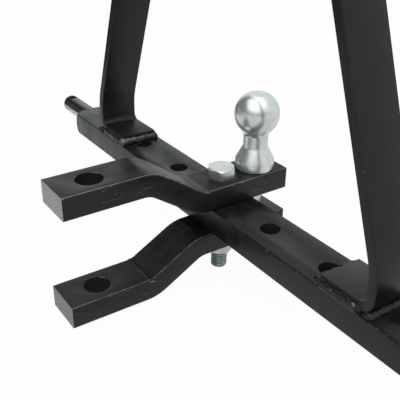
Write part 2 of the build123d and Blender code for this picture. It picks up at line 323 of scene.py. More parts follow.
# Rubbed corners: the narrow band where a face turns away from the given axis is found from
# the surface's own direction, and the enamel is gone from it in long and short broken runs
worn, worn_in, worn_out = new_group(
    "rubbed corners",
    [("Axis", VECTOR, (1, 0, 0)), ("Face Axis", VECTOR, (0, 0, 1)), ("Amount", FLOAT, 0.5)],
    [("Mask", FLOAT), ("Band", FLOAT), ("Corner", FLOAT)],
)
facing = wired(
    worn, "ShaderNodeVectorTransform",
    {0: add_node(worn, "ShaderNodeNewGeometry").outputs["True Normal"]},
    vector_type="NORMAL", convert_from="WORLD", convert_to="OBJECT")
across_corner, over_face = (
    calculate(worn, "ABSOLUTE", vector_step(worn, "DOT_PRODUCT", facing, worn_in[axis], "Value"))
    for axis in ("Axis", "Face Axis"))
off_side = stretch(worn, over_face, 0.10, 0.30)
band = product(
    worn, stretch(worn, across_corner, 0.40, 0.62), stretch(worn, across_corner, 0.96, 0.80), off_side)
ridge = product(
    worn, stretch(worn, across_corner, 0.22, 0.32), stretch(worn, across_corner, 0.62, 0.54), off_side)
corner_place = object_place(worn)
long_runs = noise(worn, corner_place, 30.0, 2.0)
short_chips = noise(worn, corner_place, 700.0, 3.0, 0.6)
run_value = product(worn, plus(worn, long_runs, short_chips), 0.5)
run_limit = minus(worn, 0.66, product(worn, worn_in["Amount"], 0.30))
worn_ridge = product(worn, ridge, past(worn, run_value, run_limit, 0.08))
worn_chips = product(worn, band, past(worn, run_value, plus(worn, run_limit, 0.20), 0.04))
feed(worn, worn_out["Mask"], greater(worn, worn_ridge, worn_chips))
feed(worn, worn_out["Corner"], product(
    worn, stretch(worn, across_corner, 0.12, 0.30), stretch(worn, across_corner, 0.97, 0.90),
    stretch(worn, over_face, 0.10, 0.20)))
feed(worn, worn_out["Band"], product(worn, band, stretch(worn, long_runs, 0.38, 0.60, 0.0, 0.6)))

# Scratches: fine streaks along one direction, in patches where the part has been handled
scratches, scratch_in, scratch_out = new_group(
    "scratches",
    [("Direction Scale", VECTOR, (20, 900, 900)), ("Amount", FLOAT, 0.5)],
    [("Mask", FLOAT)],
)
scratch_place = object_place(scratches)
streak = grain(scratches, scratch_place, scratch_in["Direction Scale"], 2.0)
scratch_limit = minus(scratches, 0.80, product(scratches, scratch_in["Amount"], 0.16))
feed(scratches, scratch_out["Mask"], product(
    scratches, past(scratches, streak, scratch_limit, 0.03),
    stretch(scratches, noise(scratches, scratch_place, 14.0, 3.0), 0.50, 0.62)))

# Single marks between two places, ragged along their length: scratches, scraped spots, painted
# highlights and painted shade lines
mark, mark_in, mark_out = new_group(
    "single mark",
    [("Start", VECTOR, (0, 0, 0)), ("End", VECTOR, (0, 0, 0)), ("Half Width", FLOAT, 0.0003),
     ("Ragged", FLOAT, 0.5)],
    [("Mask", FLOAT)],
)
mark_place = object_place(mark)
mark_reach = vector_step(mark, "SUBTRACT", mark_in["End"], mark_in["Start"])
mark_away = vector_step(mark, "SUBTRACT", mark_place, mark_in["Start"])
mark_share = calculate(
    mark, "DIVIDE", vector_step(mark, "DOT_PRODUCT", mark_away, mark_reach, "Value"),
    vector_step(mark, "DOT_PRODUCT", mark_reach, mark_reach, "Value"), clamp=True)
mark_foot = vector_step(mark, "SCALE", mark_reach, mark_share)
mark_distance = vector_step(mark, "DISTANCE", mark_away, mark_foot, "Value")
mark_ragged = product(mark, mark_in["Ragged"], stretch(
    mark, noise(mark, mark_place, 1100.0, 2.0), 0.40, 0.60))
mark_width = product(mark, mark_in["Half Width"], minus(mark, 1.0, mark_ragged))
feed(mark, mark_out["Mask"], stretch(mark, mark_distance, mark_width, product(mark, mark_width, 0.4)))

# Satin enamel: clouds of thicker and thinner spray, brown where the steel shows through,
# dust nibs, a fine orange peel, and the shallow scale pits of the rolled surface under it
enamel, enamel_in, enamel_out = new_group(
    "satin enamel",
    [("Dark", COLOUR, enamel_dark), ("Light", COLOUR, enamel_light), ("Thin", COLOUR, enamel_thin),
     ("Bare Mask", FLOAT, 0.0), ("Thin Mask", FLOAT, 0.0), ("Brown", FLOAT, 0.5),
     ("Cloud Scale", VECTOR, (22, 22, 22)), ("Smooth", FLOAT, 0.27), ("Coarse", FLOAT, 0.42),
     ("Thin Rough", FLOAT, 0.42), ("Pit Depth", FLOAT, 0.5)],
    [("Colour", COLOUR), ("Roughness", FLOAT), ("Metallic", FLOAT), ("Height", FLOAT)],
)
enamel_place = object_place(enamel)
# the thin-and-shade mask lays the Thin colour: thinner paint on most parts, painted shade on the
# crossbar's corners
bare_and_highlight_mask = enamel_in["Bare Mask"]
thin_and_shade_mask = enamel_in["Thin Mask"]
cloud = stretch(enamel, grain(enamel, enamel_place, enamel_in["Cloud Scale"], 5.0, 0.6), 0.35, 0.68)
nibs = stretch(enamel, noise(enamel, enamel_place, 520.0, 3.0), 0.66, 0.74)
thin_film = stretch(enamel, noise(enamel, enamel_place, 9.0, 3.0), 0.48, 0.66)
peel = noise(enamel, enamel_place, 520.0, 2.0)
pits = stretch(enamel, noise(enamel, enamel_place, 190.0, 4.0, 0.65), 0.30, 0.47)
film_tone = calculate(enamel, "ADD", cloud, product(enamel, nibs, 0.5), clamp=True)
film_colour = blend_colour(enamel, film_tone, enamel_in["Dark"], enamel_in["Light"])
film_colour = blend_colour(
    enamel, product(enamel, thin_film, enamel_in["Brown"]), film_colour, enamel_brown)
film_colour = blend_colour(enamel, thin_and_shade_mask, film_colour, enamel_in["Thin"])
# wear and painted highlights both show as bare steel colour
feed(enamel, enamel_out["Colour"], blend_colour(enamel, bare_and_highlight_mask, film_colour, bare_steel_and_highlight))
film_rough = blend_value(enamel, cloud, enamel_in["Smooth"], enamel_in["Coarse"])
film_rough = blend_value(enamel, thin_and_shade_mask, film_rough, enamel_in["Thin Rough"])
feed(enamel, enamel_out["Roughness"], blend_value(enamel, bare_and_highlight_mask, film_rough, bare_rough))
feed(enamel, enamel_out["Metallic"], product(enamel, bare_and_highlight_mask, bare_metallic))
film_height = plus(enamel, product(enamel, peel, 0.30), product(enamel, pits, enamel_in["Pit Depth"]))
film_height = plus(enamel, film_height, product(enamel, nibs, 0.4))
feed(enamel, enamel_out["Height"], minus(enamel, film_height, product(enamel, bare_and_highlight_mask, 0.8)))


def new_material(name):
    material = bpy.data.materials.new(name)
    material.use_nodes = True
    tree = material.node_tree
    return material, tree, tree.nodes["Principled BSDF"].inputs


def bump(tree, height, distance):
    return wired(tree, "ShaderNodeBump", {"Height": height, "Distance": distance, "Strength": 1.0})


def no_mark(tree, film, bare_and_highlight):
    return film, bare_and_highlight


def enamelled(name, corner_axis, face_axis, wear, streak_scale, scratched, before=no_mark, after=no_mark,
              shine=enamel_shine, spots=(), corner_output="Band", **film_values):
    material, tree, shader = new_material(name)
    corners = place_group(tree, worn, Axis=corner_axis, Face_Axis=face_axis, Amount=wear)
    marks = place_group(tree, scratches, Direction_Scale=streak_scale, Amount=scratched)["Mask"]
    bare_and_highlight = greater(tree, corners["Mask"], product(tree, marks, scratch_strength))
    # spots add scraped chips and painted highlights to the bare-and-highlight mask
    for start, end, half_width, strength in spots:
        spot = place_group(tree, mark, Start=start, End=end, Half_Width=half_width)["Mask"]
        bare_and_highlight = greater(tree, bare_and_highlight, product(tree, spot, strength))
    film, bare_and_highlight = before(tree, None, bare_and_highlight)
    outputs = place_group(tree, enamel, Bare_Mask=bare_and_highlight, Thin_Mask=corners[corner_output], **film_values)
    film = {label: outputs[label] for label in ("Colour", "Roughness", "Metallic", "Height")}
    film, bare_and_highlight = after(tree, film, bare_and_highlight)
    feed(tree, shader["Base Color"], film["Colour"])
    feed(tree, shader["Roughness"], film["Roughness"])
    feed(tree, shader["Metallic"], film["Metallic"])
    feed(tree, shader["Normal"], bump(tree, film["Height"], film_relief))
    shader["Specular IOR Level"].default_value = shine
    return material


def reshape(mesh, change):
    shape = bmesh.new()
    shape.from_mesh(mesh)
    change(shape)
    shape.to_mesh(mesh)
    shape.free()


def merge_flats(shape):
    bmesh.ops.remove_doubles(shape, verts=shape.verts, dist=merge_distance)
    bmesh.ops.dissolve_limit(
        shape, angle_limit=flat_within, verts=shape.verts, edges=shape.edges,
        use_dissolve_boundaries=False)


def merged_copy(node_name, piece_name):
    mesh = nodes[node_name].data.copy()
    mesh.name = piece_name
    reshape(mesh, merge_flats)
    mesh.materials.clear()
    return put(piece_name, mesh)


def settle(piece):
    plain = bpy.data.meshes.new_from_object(
        piece.evaluated_get(bpy.context.evaluated_depsgraph_get()))
    piece.modifiers.clear()
    piece.data = plain
    plain.name = piece.name


def shade(piece, angle=32):
    piece.data.shade_smooth()
    piece.data.set_sharp_from_angle(angle=math.radians(angle))


def round_edges(piece, width, angle=28, segments=3):
    bevel = piece.modifiers.new("round_edges", "BEVEL")
    bevel.width = width
    bevel.segments = segments
    bevel.limit_method = "ANGLE"
    bevel.angle_limit = math.radians(angle)
    settle(piece)
    shade(piece)


def finish_piece(piece, material, body, slot_name, *replaced):
    if material:
        piece.data.materials.clear()
        piece.data.materials.append(material)
    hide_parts(*replaced)
    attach(piece, body)


def pin_share(tree, along):
    return stretch(tree, calculate(tree, "ABSOLUTE", along), shoulder_x - shoulder_blend, shoulder_x)


def unpaint_pins(tree, film, bare_and_highlight):
    on_pin = pin_share(tree, split(tree, object_place(tree))["X"])
    return film, product(tree, bare_and_highlight, minus(tree, 1.0, on_pin))


def turned_pins(tree, film, bare_and_highlight):
    where = object_place(tree)
    axes = split(tree, where)
    on_pin = pin_share(tree, axes["X"])
    oil = stretch(tree, noise(tree, where, 60.0, 5.0, 0.65), 0.35, 0.70)
    beside = calculate(tree, "DIVIDE", minus(tree, bar_middle_y, axes["Y"]), pin_radius)
    # painted highlight: a bright metal streak along each pin's lower near side, where the floor is
    # mirrored
    pin_highlight = product(
        tree, stretch(tree, beside, 0.70, 0.86),
        stretch(tree, grain(tree, where, (60, 300, 300), 3.0), 0.30, 0.50),
        stretch(tree, axes["Z"], pin_highlight_top_z, pin_highlight_full_z))
    steel = blend_colour(tree, pin_highlight, blend_colour(tree, oil, oiled_steel, oil_film), pin_highlight_steel)
    pin_film = {"Roughness": blend_value(tree, oil, 0.18, 0.28),
                "Metallic": blend_value(tree, pin_highlight, 0.10, 0.75),
                "Height": product(tree, grain(tree, where, (1500, 3, 3), 3.0), 0.10)}
    dressed = {label: blend_value(tree, on_pin, film[label], pin_film[label]) for label in pin_film}
    return {"Colour": blend_colour(tree, on_pin, film["Colour"], steel), **dressed}, bare_and_highlight


def paint_bores(piece, finish, centres, bore_radius):
    piece.data.materials.append(finish)
    for face in piece.data.polygons:
        sideways = abs(face.normal.z) < bore_wall_lean
        for centre in centres:
            if sideways and math.dist(face.center[:2], centre) < bore_radius + bore_match:
                face.material_index = len(piece.data.materials) - 1


near_y = bar_middle_y - bar_half_width
bar_chips = [((x - reach, near_y, -0.0002), (x + reach, near_y, -0.0002), 0.0005, 0.8)
             for x, reach in (
                 (-0.048, 0.001), (-0.006, 0.0015), (0.052, 0.001), (0.118, 0.0015), (0.149, 0.001),
                 (0.163, 0.0008), (0.239, 0.0012), (0.262, 0.001), (0.271, 0.0012))]
bar_chips += [((x, near_y, -0.005), (x, near_y, -0.026), 0.0055, 0.07) for x in (-0.3134, -0.2898)]
bar_chips += [((0.190, near_y, -0.0003), (0.236, near_y, -0.0003), 0.0010, 0.22)]
# painted shade: on the crossbar the Corner band takes near-black, matt enamel, a dark line along each
# long edge
bar_enamel = enamelled(
    "crossbar_enamel", (0, 1, 0), (0, 0, 1), 0.05, (18, 700, 700), 0.35, spots=bar_chips,
    before=unpaint_pins, after=turned_pins, Brown=0.35, Cloud_Scale=(40, 60, 9),
    corner_output="Corner", Thin=painted_shade_black, Thin_Rough=0.85)
bore_enamel = enamelled(
    "bore_overspray", (0, 0, 1), (0, 0, 1), 0.0, (60, 60, 900), 0.5,
    Dark=bore_dark, Smooth=0.62, Coarse=0.75, Pit_Depth=0.8)
crossbar = merged_copy("crossbar", "drawbar_crossbar")
round_edges(crossbar, bar_edge_round)
crossbar.data.materials.append(bar_enamel)
bar_holes = [(number * hole_pitch, bar_middle_y)
             for number in range(-holes_each_side, holes_each_side + 1)]
paint_bores(crossbar, bore_enamel, bar_holes, bar_hole_radius)
finish_piece(crossbar, None, "frame", "black_paint", "crossbar")

# Arms: two 50 x 25 mm flats, pressed cold into a joggle so that their rear ends stand apart
# as a clevis. The saw-cut rear ends show through thin paint, the long corners are rubbed
# bright, and the press has bitten a crescent into the lower arm's inner bend.
arm_edge_round = 0.0005
arm_rear_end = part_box("upper_arm")[0].y
arm_half_width = 0.0250
arm_hole_radius = 0.01425
clamped_from_y = 0.128
clamped_level = 0.99
saw_cut_full = 0.0002
saw_cut_edge = 0.0007
saw_cut_dark = (0.10, 0.105, 0.10, 1)
saw_cut_bright = (0.52, 0.53, 0.51, 1)
arm_light = (0.0150, 0.0158, 0.0145, 1)


def saw_cut_end(tree, film, bare_and_highlight):
    where = object_place(tree)
    axes = split(tree, where)
    at_end = stretch(tree, axes["Y"], arm_rear_end + saw_cut_edge, arm_rear_end + saw_cut_full)
    kerf = grain(tree, where, (1300, 1, 420), 4.0, 0.7)
    grit = noise(tree, where, 900.0, 4.0, 0.7)
    speckle = stretch(tree, product(tree, plus(tree, kerf, grit), 0.5), 0.36, 0.64)
    cut = blend_colour(tree, speckle, saw_cut_dark, saw_cut_bright)
    # the cut end is darker towards the bottom
    darker_below = stretch(tree, axes["Z"], -0.03, 0.03, 0.45, 0.0)
    cut = blend_colour(tree, darker_below, cut, saw_cut_dark)
    return {
        "Colour": blend_colour(tree, at_end, film["Colour"], cut),
        "Roughness": blend_value(tree, at_end, film["Roughness"], 0.55),
        "Metallic": blend_value(tree, at_end, film["Metallic"], 0.35),
        "Height": blend_value(tree, at_end, film["Height"], product(tree, speckle, 1.6)),
    }, bare_and_highlight


def creased_film(tree, film, bare_and_highlight):
    film, bare_and_highlight = saw_cut_end(tree, film, bare_and_highlight)
    crease_shade = 0.0
    # painted shade: the crease lines turn the enamel near-black and matt
    for start, end, half_width, strength in crease_shade_lines:
        line = place_group(tree, mark, Start=start, End=end, Half_Width=half_width, Ragged=0.35)["Mask"]
        crease_shade = greater(tree, crease_shade, product(tree, line, strength))
    film["Colour"] = blend_colour(tree, crease_shade, film["Colour"], painted_shade_black)
    film["Roughness"] = blend_value(tree, crease_shade, film["Roughness"], 0.9)
    return film, bare_and_highlight


arm_side = arm_half_width
# painted shade and highlight in the crease: near-black, matt lines at the start of the bite and in its
# groove, and a bright metal line along its ridge
crease_z = -0.0605
crease_shade_lines = (
    ((-0.0250, 0.0480, crease_z), (0.0250, 0.0478, crease_z), 0.0009, 0.85),
    ((-0.0250, 0.0540, crease_z), (0.0250, 0.0535, crease_z), 0.0019, 0.75),
)
crease_highlight = ((-0.0230, 0.0505, crease_z), (0.0240, 0.0502, crease_z), 0.0008, 0.12)
handling_marks = (
    ((0.0240, 0.0102, 0.0646), (0.0248, 0.0106, 0.0638), 0.0007, 0.60),
    ((arm_side, 0.1215, 0.0256), (arm_side, 0.1262, 0.0242), 0.0010, 0.75),
    ((arm_side, 0.0000, 0.0497), (arm_side, 0.0085, 0.0482), 0.00028, 0.34),
    ((arm_side, 0.0105, 0.0490), (arm_side, 0.0160, 0.0492), 0.00028, 0.32),
    ((arm_side, 0.0178, 0.0492), (arm_side, 0.0228, 0.0494), 0.00028, 0.34),
    ((arm_side, 0.0143, 0.0550), (arm_side, 0.0172, 0.0548), 0.00035, 0.40),
    ((arm_side, 0.0212, 0.0538), (arm_side, 0.0240, 0.0528), 0.00026, 0.32),
    ((arm_side, 0.0022, 0.0612), (arm_side, 0.0035, 0.0610), 0.00040, 0.50),
    ((arm_side, 0.0515, -0.0632), (arm_side, 0.0563, -0.0632), 0.0008, 0.80),
    ((arm_side, 0.0580, -0.0655), (arm_side, 0.0655, -0.0668), 0.00026, 0.28),
    ((arm_side, 0.0660, -0.0548), (arm_side, 0.0690, -0.0550), 0.00026, 0.26),
)


def arm_film(name, after=saw_cut_end, spots=handling_marks, **others):
    return enamelled(name, (1, 0, 0), (0, 0.2, 1), 0.95, (900, 26, 900), 0.72, after=after,
                     spots=spots, Cloud_Scale=(34, 11, 34), Light=arm_light, **others)


arm_enamel = arm_film("arm_enamel")
clamped_enamel = arm_film("clamped_enamel", shine=0.11)
creased_enamel = arm_film("creased_enamel", creased_film, handling_marks + (crease_highlight,))

# The press has bitten the lower arm at its inner bend: a groove straight across where the
# bend begins, a low ridge beside it and a shallow crescent a little way up the slope
bite_start = 0.0450
bite_end = 0.0680
bite_step = 0.0008
bite_step_across = 0.0025
bite_steps_each_side = 9
bite_below_z = -0.05
bite_facing_up = 0.8
bite_facing_aside = 0.02
bite_y = 0.0497
ridge_past_bite = 0.0012
ridge_height = 0.00100
groove_past_bite = 0.0042
groove_depth = 0.00085
groove_width = 0.0016
crescent_y = 0.0500
crescent_reach = 0.0120
crescent_height = 0.00035
crescent_width = 0.0012


def bell(distance, width):
    return math.exp(-(distance / width) ** 2)


def bite_depth(x, y):
    wobble = 0.0004 * math.sin(x * 210) + 0.0003 * math.sin(x * 95 + 1.0)
    crescent = crescent_y + crescent_reach * max(0.0, 1 - (x / arm_half_width) ** 2) ** 0.7
    bulge = ridge_height * bell(y - bite_y - wobble - ridge_past_bite, groove_width)
    valley = -groove_depth * bell(y - bite_y - wobble - groove_past_bite, groove_width)
    arc = crescent_height * bell(y - crescent, crescent_width)
    return bulge + valley + arc


def bite(shape):
    def upper_faces():
        return [face for face in shape.faces
                if face.normal.z > bite_facing_up and abs(face.normal.x) < bite_facing_aside
                and face.calc_center_median().z < bite_below_z
                and min(corner.co.y for corner in face.verts) < bite_end
                and max(corner.co.y for corner in face.verts) > bite_start]

    def slice_at(place, direction):
        faces = upper_faces()
        edges = {edge for face in faces for edge in face.edges}
        corners = {corner for face in faces for corner in face.verts}
        bmesh.ops.bisect_plane(
            shape, geom=list(corners) + list(edges) + faces, plane_co=place, plane_no=direction)

    for number in range(round((bite_end - bite_start) / bite_step) + 1):
        slice_at((0, bite_start + number * bite_step, 0), (0, 1, 0))
    for number in range(-bite_steps_each_side, bite_steps_each_side + 1):
        slice_at((number * bite_step_across, 0, 0), (1, 0, 0))
    for corner in {corner for face in upper_faces() for corner in face.verts}:
        if bite_start < corner.co.y < bite_end:
            corner.co.z += bite_depth(corner.co.x, corner.co.y)


for arm_name, arm_paint in (("upper_arm", arm_enamel), ("lower_arm", creased_enamel)):
    arm = merged_copy(arm_name, "drawbar_" + arm_name)
    round_edges(arm, arm_edge_round)
    if arm_name == "lower_arm":
        reshape(arm.data, bite)
        shade(arm)
    arm.data.materials.append(arm_paint)
    paint_bores(arm, bore_enamel, [(0, 0)], arm_hole_radius)
    arm.data.materials.append(clamped_enamel)
    for face in arm.data.polygons:
        clamped = face.normal.z > clamped_level and face.center.y > clamped_from_y
        if clamped and arm_name == "upper_arm":
            face.material_index = len(arm.data.materials) - 1
    finish_piece(arm, None, "frame", "black_paint", arm_name)

# Stays: 50 x 10 mm straps, each bent into a foot, a leaning leg and an upright ear, with
# the ear's hole drilled and its corners rounded. They are enamelled with the crossbar
# after welding; the strap's mill edge is rubbed in short chips.
stay_edge_round = 0.0003
stay_light = (0.0080, 0.0095, 0.0090, 1)
stay_enamel = enamelled(
    "stay_enamel", (0, 1, 0), (1, 0, 0.2), 0.30, (700, 700, 22), 0.40,
    Pit_Depth=0.35, Brown=0.8, Light=stay_light)
for stay_name in ("left_stay", "right_stay"):
    stay = merged_copy(stay_name, "drawbar_" + stay_name)
    round_edges(stay, stay_edge_round)
    finish_piece(stay, stay_enamel, "frame", "black_paint", stay_name)

# Welds: four arc-welded runs round each stay's foot, laid down in overlapping crescents and
# painted over with the rest. Each run is a row of ripples fused to one skin.
GEOMETRY, MATERIAL = "NodeSocketGeometry", "NodeSocketMaterial"
weld_voxel = 0.00042
ripple_pitch = 0.0019
ripple_wander = 0.0005
toe_ripple = (0.0062, 0.0048, 0.0062)
side_ripple = (0.0064, 0.0023, 0.0056)
heel_ripple = (0.0062, 0.0040, 0.0044)
end_lean = (0.3, 0, 0)
side_lean = (0, 0.2, 0)
run_z = 0.0014
heel_run_z = 0.0012
toe_inset = 0.0018
heel_inset = 0.0085
side_inset = 0.0006
left_toe_lump = 1.36
first_seed = 11
weld_light = (0.011, 0.012, 0.011, 1)


def geometry_tree(name, inputs):
    tree = bpy.data.node_groups.new(name, "GeometryNodeTree")
    for label, kind, value in inputs:
        socket = tree.interface.new_socket(label, in_out="INPUT", socket_type=kind)
        if value is not None:
            socket.default_value = value
    tree.interface.new_socket("Geometry", in_out="OUTPUT", socket_type=GEOMETRY)
    return tree, add_node(tree, "NodeGroupInput").outputs


def end_tree(tree, geometry, finish):
    real = wired(tree, "GeometryNodeRealizeInstances", {0: geometry})
    coated = wired(tree, "GeometryNodeSetMaterial", {"Geometry": real, "Material": finish})
    feed(tree, add_node(tree, "NodeGroupOutput").inputs["Geometry"], coated)


def grow(name, tree, values, points=()):
    mesh = bpy.data.meshes.new(name)
    mesh.from_pydata(points, [(index, index + 1) for index in range(len(points) - 1)], [])
    piece = put(name, mesh)
    maker = piece.modifiers.new(tree.name, "NODES")
    maker.node_group = tree
    for item in tree.interface.items_tree:
        if item.name in values:
            maker[item.identifier] = values[item.name]
    settle(piece)
    return piece


bead, bead_in = geometry_tree("weld bead", [
    ("Path", GEOMETRY, None), ("Ripple Pitch", FLOAT, ripple_pitch), ("Wander", FLOAT, ripple_wander),
    ("Ripple Size", VECTOR, (1, 1, 1)), ("Ripple Lean", VECTOR, (0, 0, 0)),
    ("Seed", "NodeSocketInt", 1), ("End Lump", FLOAT, 1.2), ("Finish", MATERIAL, None)])
bead_line = wired(bead, "GeometryNodeMeshToCurve", {"Mesh": bead_in["Path"]})
stations = wired(bead, "GeometryNodeResampleCurve", {
    "Curve": bead_line, "Length": bead_in["Ripple Pitch"]}, mode="LENGTH")
drift = wired(bead, "FunctionNodeRandomValue", {
    "Min": (-1, -1, -1), "Max": (1, 1, 1), "Seed": bead_in["Seed"]}, data_type="FLOAT_VECTOR")
shifted = wired(bead, "GeometryNodeSetPosition", {
    "Geometry": stations, "Offset": vector_step(bead, "SCALE", drift, bead_in["Wander"])})
bead_place = add_node(bead, "GeometryNodeInputPosition").outputs[0]
seed_shift = wired(bead, "ShaderNodeCombineXYZ", {2: bead_in["Seed"]})
swell_place = vector_step(bead, "ADD", bead_place, seed_shift)
swell = stretch(bead, noise(bead, swell_place, 150.0, 2.0), 0.30, 0.70, 0.84, 1.14)
station_number = add_node(bead, "GeometryNodeInputIndex").outputs[0]
end_swell = stretch(bead, station_number, 2.5, 0.5, 1.0, bead_in["End Lump"])
ripples = wired(bead, "GeometryNodeInstanceOnPoints", {
    "Points": shifted,
    "Instance": wired(bead, "GeometryNodeMeshIcoSphere", {"Radius": 1.0, "Subdivisions": 3}),
    "Rotation": bead_in["Ripple Lean"],
    "Scale": vector_step(bead, "SCALE", bead_in["Ripple Size"], product(bead, swell, end_swell))})
molten = wired(bead, "GeometryNodeMeshToVolume", {
    "Mesh": wired(bead, "GeometryNodeRealizeInstances", {0: ripples}),
    "Voxel Size": weld_voxel, "Interior Band Width": weld_voxel * 3}, resolution_mode="VOXEL_SIZE")
skin = wired(bead, "GeometryNodeVolumeToMesh", {
    "Volume": molten, "Voxel Size": weld_voxel}, resolution_mode="VOXEL_SIZE")
end_tree(bead, wired(bead, "GeometryNodeSetShadeSmooth", {0: skin}), bead_in["Finish"])

# chips in the enamel over the welds; the spot at the left toe's near end and the two streaks along the
# left toe bead's top are painted highlights
weld_chips_and_highlights = [(place, place, reach, strength) for place, reach, strength in (
    ((-0.1850, 0.1345, 0.0065), 0.0080, 0.42), ((0.2323, 0.1330, 0.0050), 0.0030, 0.45),
    ((-0.2300, 0.1325, 0.0030), 0.0030, 0.40), ((-0.2150, 0.1322, 0.0020), 0.0030, 0.35),
    ((-0.1990, 0.1322, 0.0015), 0.0030, 0.35), ((0.2050, 0.1325, 0.0040), 0.0018, 0.30))]
weld_chips_and_highlights += [((-0.1835, 0.1380, 0.0070), (-0.1835, 0.1640, 0.0070), 0.0030, 0.34),
                 ((-0.1835, 0.1700, 0.0070), (-0.1835, 0.1820, 0.0070), 0.0028, 0.26),
                 ((-0.2260, 0.1322, 0.0030), (-0.2080, 0.1322, 0.0022), 0.0015, 0.40)]
weld_enamel = enamelled(
    "weld_enamel", (0, 0, 1), (0, 0, 1), 0.0, (300, 300, 300), 0.9, Pit_Depth=1.2, Coarse=0.5,
    spots=weld_chips_and_highlights, Light=weld_light, Cloud_Scale=(160, 160, 160))
for side, stay_name in ((-1, "left_stay"), (1, "right_stay")):
    toe_low, toe_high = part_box(stay_name + "_toe_weld")
    rear_low, rear_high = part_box(stay_name + "_rear_weld")
    front_low, front_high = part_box(stay_name + "_front_weld")
    heel_low, heel_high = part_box(stay_name + "_heel_weld")
    toe_x = (toe_high.x if side > 0 else toe_low.x) - side * toe_inset
    heel_x = (heel_high.x if side > 0 else heel_low.x) - side * heel_inset
    rear_y = rear_high.y - side_inset
    front_y = front_low.y + side_inset
    runs = (
        ("toe_weld", (toe_x, toe_low.y, run_z), (toe_x, toe_high.y, run_z),
         toe_ripple, end_lean, left_toe_lump if side < 0 else 1.0),
        ("rear_weld", (rear_low.x, rear_y, run_z), (rear_high.x, rear_y, run_z),
         side_ripple, side_lean, 1.0),
        ("front_weld", (front_low.x, front_y, run_z), (front_high.x, front_y, run_z),
         side_ripple, side_lean, 1.0),
        ("heel_weld", (heel_x, heel_low.y, heel_run_z), (heel_x, heel_high.y, heel_run_z),
         heel_ripple, end_lean, 1.0),
    )
    for number, (run_name, start, end, ripple, lean, lump) in enumerate(runs):
        weld = grow("drawbar_" + stay_name + "_" + run_name, bead, {
            "Ripple Size": ripple, "Ripple Lean": lean, "Seed": first_seed + number + len(runs) * side,
            "End Lump": lump, "Finish": weld_enamel}, (start, end))
        finish_piece(weld, weld_enamel, "frame", "black_paint", stay_name + "_" + run_name)

# Clamp bolt and nuts: a forged hex bolt through both arms, its thread rolled on the lower
# end, with a hex nut under the lower arm; the tow ball's shank has the same nut. All are zinc
# plated, silky and slightly blue-green, with faint cloudy patches; the threads and nuts carry
# painted shade as darker copies of the plating, darkest in the thread roots.
zinc_bright = (0.675, 0.71, 0.70, 1)
zinc_dull = (0.56, 0.60, 0.585, 1)
shaded_nut_bright = (0.50, 0.53, 0.52, 1)
shaded_nut_dull = (0.41, 0.44, 0.43, 1)
# painted shade: the thread's zinc is a darker, greener copy of the plating
shaded_thread_bright = (0.42, 0.51, 0.49, 1)
shaded_thread_dull = (0.30, 0.37, 0.355, 1)
thread_root_shade = (0.13, 0.165, 0.157, 1)
zinc_metallic = 0.82
zinc_relief = 0.00003
thread_relief = 0.00002
root_shade_radius = 0.0084
root_shade_end_radius = 0.0093
thread_crest = 0.0095
thread_root = 0.0082
thread_pitch = 0.0025
thread_chamfer = 0.0016
thread_run_out = 0.003
thread_sides = 44
thread_crease = 50
rows_per_turn = 8
rows_past_ends = 3
root_rows = 0.6
crest_rows = 3.4
seam_merge = 0.00001
thread_past_nut = 0.002
thread_lap = 0.0005
bolt_edge_round = 0.0003
bolt_head_height = 0.012

zinc, zinc_in, zinc_out = new_group(
    "zinc plating",
    [("Bright", COLOUR, zinc_bright), ("Dull", COLOUR, zinc_dull), ("Smooth", FLOAT, 0.26),
     ("Coarse", FLOAT, 0.36), ("Grain Scale", VECTOR, (900, 900, 900))],
    [("Colour", COLOUR), ("Roughness", FLOAT), ("Height", FLOAT)],
)
zinc_place = object_place(zinc)
zinc_cloud = stretch(zinc, noise(zinc, zinc_place, 120.0, 5.0, 0.6), 0.32, 0.70)
feed(zinc, zinc_out["Colour"], blend_colour(zinc, zinc_cloud, zinc_in["Bright"], zinc_in["Dull"]))
feed(zinc, zinc_out["Roughness"], blend_value(zinc, zinc_cloud, zinc_in["Smooth"], zinc_in["Coarse"]))
feed(zinc, zinc_out["Height"], grain(zinc, zinc_place, zinc_in["Grain Scale"], 3.0))


def zinc_plated(name, relief, root_shade_axis=None, **values):
    material, tree, shader = new_material(name)
    plating = place_group(tree, zinc, **values)
    colour = plating["Colour"]
    # painted shade: the plating darkens inside the thread's root radius
    if root_shade_axis:
        beside_axis = vector_step(tree, "SUBTRACT", object_place(tree), (root_shade_axis.x, root_shade_axis.y, 0))
        level = vector_step(tree, "MULTIPLY", beside_axis, (1, 1, 0))
        from_axis = vector_step(tree, "LENGTH", level, (0, 0, 0), "Value")
        past_root_shade = stretch(tree, from_axis, root_shade_radius, root_shade_end_radius)
        colour = blend_colour(tree, past_root_shade, thread_root_shade, colour)
    feed(tree, shader["Base Color"], colour)
    feed(tree, shader["Roughness"], plating["Roughness"])
    shader["Metallic"].default_value = zinc_metallic
    feed(tree, shader["Normal"], bump(tree, plating["Height"], relief))
    return material


def thread_zinc(node_name):
    low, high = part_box(node_name)
    return zinc_plated(node_name + "_thread_zinc", thread_relief, (low + high) / 2,
                       Bright=shaded_thread_bright, Dull=shaded_thread_dull)


bolt_zinc = zinc_plated("bolt_zinc", zinc_relief)
# painted shade: the nuts sit under the arms, so their zinc is a darker copy of the plating
shaded_nut_zinc = zinc_plated("shaded_nut_zinc", zinc_relief, Bright=shaded_nut_bright, Dull=shaded_nut_dull)

